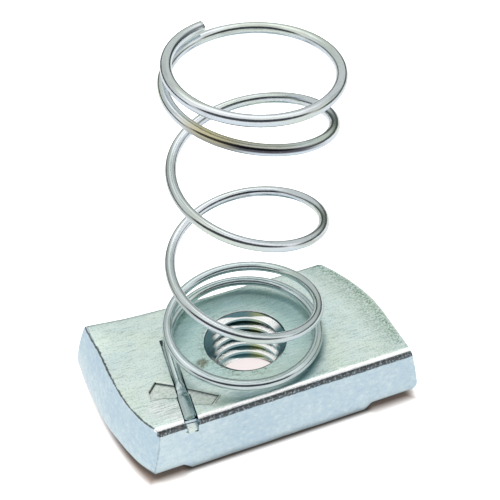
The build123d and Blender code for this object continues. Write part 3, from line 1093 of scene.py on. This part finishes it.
def plate_material(nut):
    """Bright zinc on pressed steel: fine grain, faint tints, dark grime on edges and in the thread."""
    material = bpy.data.materials.new("bright_zinc_plate")
    m = PlateSkin(material, nut)
    base = plating(m)
    for coat in PLATE_COATS:
        base = coat(m, base)
    roughness = m.grain * 0.22 * m.upward + m.speckle * 0.20 + (m.finish.plate_roughness - 0.20)
    roughness = roughness + m.roll * 0.15 - m.crest * 0.10
    roughness = roughness * (1 - m.bore * 0.5) + m.struck * 0.30
    height = m.grain * m.upward * 0.7 + m.speckle * 0.5 + m.mottle * 0.4 * m.sideways
    height = height + m.roll * m.crumbs * 1.5
    m.surface(Base_Color=base, Metallic=1.0, Roughness=roughness, Normal=m.bump(height, 0.45, 0.06))
    return material


DARK_STRETCHES = (2.0, 98.0, 153.0)  # middles of the painted dark reflection lines, along the wire from the cut top end


class WireSkin(Maker):
    """The places, directions and patterns that the wire's coats share."""

    def __init__(self, owner, nut):
        super().__init__(owner)
        self.sizes, self.finish = nut, nut.finish
        spot = self.stored("wire_spot", "Vector")
        drawn = self.node("ShaderNodeMapping", None, {"Vector": spot, "Scale": (0.35, 3.2, 3.2)})
        slow = self.node("ShaderNodeMapping", None, {"Vector": spot, "Scale": (0.10, 0.5, 0.5)})
        self.along = self.axes(spot)[0]
        self.lines = self.noise_on(drawn, 1.6, 4.0, 0.65)
        self.patch, self.brown = self.noise_on(slow, 1.3, 3.0), self.noise_on(slow, 2.1, 2.0)
        self.pits = self.noise(6.0, 2.0)
        _, self.ny, self.nz = self.axes(self.node("ShaderNodeTexCoord", output="Normal"))
        self.under = self.nz.fade(-0.30, 0.60)
        self.x, self.y, self.z = self.axes(self.place())


def wire_stains_and_reflections(m, base):
    """One yellow stain, lighter on top and dark brown below as painted light and shade, a brown stretch and a
    near-black band on the sides past it, and stretches with a painted dark reflection along the middle.
    """
    past, nz = m.along - mm(m.finish.stain_at), m.nz
    brownish = past.band(-1.0, 2.0, 5.0, 9.0) * nz.ramp(-0.10, 0.20)
    dark_side_band = past.band(0.5, 3.0, 8.0, 12.0) * nz.fade(0.55, 0.75) * nz.ramp(-0.15, 0.15)
    reflection_line = nz.band(0.38, 0.52, 0.64, 0.78) * m.ny.fade(-0.40, -0.15)
    coats = [
        # a real stain, lighter on its upper side and darker below as painted light and shade
        (abs(past).fade(1.0, 4.5) * 0.8, m.mix(m.under, (0.56, 0.49, 0.24), (0.20, 0.19, 0.14))),
        (brownish * 0.6, (0.30, 0.28, 0.21)),
        (dark_side_band * 0.95, (0.06, 0.06, 0.08)),
    ]
    # painted dark reflection lines along the middle of the wire
    for middle in DARK_STRETCHES:
        here = abs(m.along - middle).fade(3.0, 7.0)
        coats.append((reflection_line * here * 0.85, (0.10, 0.12, 0.13)))
    return m.coats(base, *coats)


def turn_shades(m, base):
    """The middle turns are darker on their left side, and the closed turns near the plate greener and darker,
    all as painted shade.
    """
    nut, z = m.sizes, m.z
    out = m.x - coil_axis_x(nut.tail) - (z - mm(nut.plate.thickness)) * tan(nut.spring.lean)
    # painted shade on the left side of the middle turns
    dull = out.fade(-8.2, -6.6) * z.band(12.0, 17.0, 40.0, 43.0) * m.nz.ramp(-0.2, 0.3)
    return m.coats(
        base,
        (dull * 0.75, (0.45, 0.50, 0.49)),
        (z.fade(11.0, 22.0) * 0.42, (0.44, 0.58, 0.56)),
    )


def tail_tints(m, base):
    """The struck tail: one facet and all that lies in the groove are in shade, and the cut end is dull."""
    tail, y, z = m.sizes.tail, m.y, m.z
    end = mm(tail.tail_end)
    beside = m.x - tail_x(tail, y)
    facet = y.fade(-5.4, -4.8) * z.fade(8.5, 8.8) * beside.band(0.0, 0.25, 0.9, 1.1)
    in_groove = y.fade(0.0, 2.0) * z.fade(8.4, 8.8) * abs(beside).fade(0.9, 1.1)
    off = m.far(m.place((0.8, 1.0, 1.0)), (0.8 * tail_x(tail, end), end, 7.62))
    return m.coats(
        base,
        (facet * 0.6, (0.22, 0.34, 0.35)),
        (in_groove * 0.35, (0.24, 0.36, 0.37)),
        (y.fade(end, end + 0.04) * off.fade(0.30, 0.42) * 0.8, (0.34, 0.44, 0.38)),
    )


def wire_material(nut):
    """Bright zinc on drawn wire: fine lines along the wire, bluish below as a painted reflection, with yellow
    and brown patches.
    """
    material = bpy.data.materials.new("bright_zinc_wire")
    m = WireSkin(material, nut)
    finish = nut.finish
    base = m.coats(
        # the underside's bluish colour is a painted reflection
        m.mix(m.under * 0.85, finish.wire, finish.wire_under),
        (m.patch.ramp(0.46, 0.66) * 0.7, finish.wire_tint),
        (m.brown.ramp(0.54, 0.70) * 0.45, (0.38, 0.40, 0.37)),
    )
    for coat in (wire_stains_and_reflections, turn_shades, tail_tints):
        base = coat(m, base)
    base = m.mix(m.lines.ramp(0.56, 0.72) * 0.42, base, (0.30, 0.35, 0.37))
    base = m.mix(m.pits.ramp(0.60, 0.72) * 0.25, base, (0.32, 0.35, 0.34))
    roughness = m.pits * 0.10 + m.lines * 0.14 + (finish.wire_roughness - 0.08)
    bump = m.bump(m.lines * 0.8 + m.pits * 0.3, 0.20, 0.03)
    m.surface(Base_Color=base, Metallic=1.0, Roughness=roughness, Normal=bump)
    return material


# ---- stage ----
FLOOR_SINK = 0.03  # the table lies this far below the pad
LEFT_FOOT, RIGHT_FOOT = 18.45, 17.6  # the ends' reach at the foot, from the thread's axis


def past_foot(m, plate):
    """How far a point of the floor lies outside the plate's foot."""
    x, y, _ = m.axes(m.place())
    forward = (LEFT_END_BACK - y) * (1 / LEFT_END_RUN)
    left = x * -1 + forward * 1.3 + forward.math("POWER", 5.0) * 1.6 - LEFT_FOOT
    right = x - RIGHT_FOOT + (y + mm(plate.turn_flat)).math("MAXIMUM", 0.0).math("POWER", 2.0) * 0.024
    side = abs(y) - mm(plate.width) / 2
    return left.math("MAXIMUM", right).math("MAXIMUM", side)


def table_material(plate):
    """White, with a short painted contact shadow by the plate's foot, and a painted glow on the floor seen
    through its hole; metal mirrors the painted shadow too.
    """
    material = bpy.data.materials.new("studio_floor")
    m = Maker(material)
    x, y, _ = m.axes(m.place())
    beyond = past_foot(m, plate)
    pad = abs(x - mm(plate.pad_shift)).fade(11.2, 12.4)
    inside = m.diagonal(x, y).fade(4.3, 4.6)
    # painted contact shadow by the plate's foot
    near = (beyond.ramp(-0.30, 1.60) * (1 - pad) + beyond.ramp(0.0, 0.95) * pad).math("MAXIMUM", inside)
    tone = m.mix(near, m.mix(pad, (0.225, 0.175, 0.15), (0.080, 0.068, 0.060)), WHITE)
    tone = m.mix(inside, tone, (0.12, 0.10, 0.10))
    light = m.mix(near, (0.0, 0.0, 0.0), (0.22, 0.20, 0.19))
    # the floor seen through the hole glows with painted light
    light = m.mix(inside, light, (0.86, 0.79, 0.79))
    rays = ("Is Camera Ray", "Is Glossy Ray", "Is Transmission Ray")
    seen, glossy, through = (m.node("ShaderNodeLightPath", output=ray) for ray in rays)
    glow = m.node("ShaderNodeEmission", None, {"Color": light, "Strength": seen})
    paper = m.node("ShaderNodeBsdfDiffuse", None, {"Color": tone})
    shown = m.node("ShaderNodeAddShader", None, {0: paper, 1: glow})
    mirrored = m.mix(near, (0.40, 0.38, 0.36), WHITE)
    white = m.node("ShaderNodeEmission", None, {"Color": mirrored, "Strength": 1.0})
    mirroring = (glossy + through).math("MINIMUM", 1.0)
    surface = m.node("ShaderNodeMixShader", None, {0: mirroring, 1: shown, 2: white})
    m.node("ShaderNodeOutputMaterial", None, {"Surface": surface})
    return material


def studio_floor(plate):
    """A white round table under the plate."""
    bm = bmesh.new()
    low = Matrix.Translation((0, 0, -FLOOR_SINK * MM))
    bmesh.ops.create_circle(bm, cap_ends=True, radius=0.6, segments=64, matrix=low)
    mesh = bpy.data.meshes.new("studio_floor")
    bm.to_mesh(mesh)
    bm.free()
    mesh.materials.append(table_material(plate))
    floor = bpy.data.objects.new("studio_floor", mesh)
    bpy.context.scene.collection.objects.link(floor)


def studio_world(stage):
    """White all round; bright metal also mirrors a dark low band, a dark near side and a soft far side."""
    world = bpy.data.worlds.new("studio")
    bpy.context.scene.world = world
    m = Maker(world)
    mirrored = m.node("ShaderNodeLightPath", output="Is Glossy Ray")
    dx, dy, dz = m.axes(m.node("ShaderNodeTexCoord", output="Generated"))
    ahead = (-sin(stage.azimuth), cos(stage.azimuth))
    toward = dx * -ahead[0] + dy * -ahead[1]
    right = dx * ahead[1] - dy * ahead[0]
    low = dz.band(-0.12, -0.02, 0.14, 0.36) * toward.fade(0.1, 0.5)
    high = (dz - toward * 0.10).ramp(-0.04, 0.14) * (toward * 1.7 - dz).ramp(-0.05, 0.30)
    room = m.coats(
        m.mix(dz.ramp(0.70, 0.90), (0.66, 0.69, 0.68), (1.35, 1.35, 1.35)),
        (toward.ramp(-0.25, 0.10), WHITE),
        (low, (0.05, 0.065, 0.06)),
        (high * toward.ramp(0.10, 0.30) * right.band(-0.96, -0.80, 0.80, 0.94), (0.055, 0.060, 0.075)),
    )
    shader = m.node("ShaderNodeBackground", None, {"Color": m.mix(mirrored, WHITE, room), "Strength": 1.0})
    m.node("ShaderNodeOutputWorld", None, {"Surface": shader})


def lamp(name, at, size, power):
    """A round lamp that faces the origin and shows in no reflection."""
    light = bpy.data.lights.new(name, "AREA")
    light.shape = "DISK"
    light.size = size
    light.energy = power
    made = bpy.data.objects.new(name, light)
    made.location = at
    made.rotation_euler = (-Vector(at)).to_track_quat("-Z", "Y").to_euler()
    made.visible_glossy = False
    bpy.context.scene.collection.objects.link(made)


class SPRINGNUT_OT_stage(bpy.types.Operator):
    """Sets up the floor, the light and the camera"""

    bl_idname = "springnut.stage"
    bl_label = "Stage"

    def execute(self, context):
        scene, stage = context.scene, context.scene.spring_nut.stage
        scene.view_settings.view_transform = "Standard"
        studio_floor(context.scene.spring_nut.plate)
        studio_world(stage)
        lamp("key", (-0.02, 0.06, 0.45), 0.30, 2.2)
        camera = bpy.data.cameras.new("camera")
        camera.lens = stage.lens
        camera.sensor_width = 36.0
        camera.shift_x = stage.shift
        camera.clip_start = 0.005
        made = bpy.data.objects.new("camera", camera)
        aim = Matrix.Rotation(stage.azimuth, 4, "Z") @ Matrix.Rotation(pi / 2 - stage.elevation, 4, "X")
        made.matrix_world = Matrix.Translation(stage.camera_at) @ aim @ Matrix.Rotation(stage.roll, 4, "Z")
        scene.collection.objects.link(made)
        scene.camera = made
        return {"FINISHED"}


class SPRINGNUT_PT_panel(bpy.types.Panel):
    """Lists the sizes and the steps of the spring nut"""

    bl_label = "Spring Nut"
    bl_idname = "SPRINGNUT_PT_panel"
    bl_space_type = "VIEW_3D"
    bl_region_type = "UI"
    bl_category = "Spring Nut"

    def draw(self, context):
        settings = context.scene.spring_nut
        for label, group, step in (
            ("Nut plate", settings.plate, SPRINGNUT_OT_nut_plate),
            ("Thread", settings.thread, None),
            ("Tail and stake", settings.tail, None),
            ("Coil spring", settings.spring, SPRINGNUT_OT_coil_spring),
            ("Finish", settings.finish, None),
            ("Stage", settings.stage, SPRINGNUT_OT_stage),
        ):
            box = self.layout.box()
            box.label(text=label)
            for name in group.__annotations__:
                box.prop(group, name)
            if step:
                box.operator(step.bl_idname)


CLASSES = (
    PlateSizes, ThreadSizes, TailSizes, SpringSizes, Finish, Stage, SpringNut,
    SPRINGNUT_OT_nut_plate, SPRINGNUT_OT_coil_spring, SPRINGNUT_OT_stage, SPRINGNUT_PT_panel,
)


def register():
    for cls in CLASSES:
        bpy.utils.register_class(cls)
    bpy.types.Scene.spring_nut = PointerProperty(type=SpringNut)


def unregister():
    del bpy.types.Scene.spring_nut
    for cls in reversed(CLASSES):
        bpy.utils.unregister_class(cls)


def main():
    register()
    bpy.ops.springnut.nut_plate()
    bpy.ops.springnut.coil_spring()
    bpy.ops.springnut.stage()


if __name__ == "__main__":
    main()
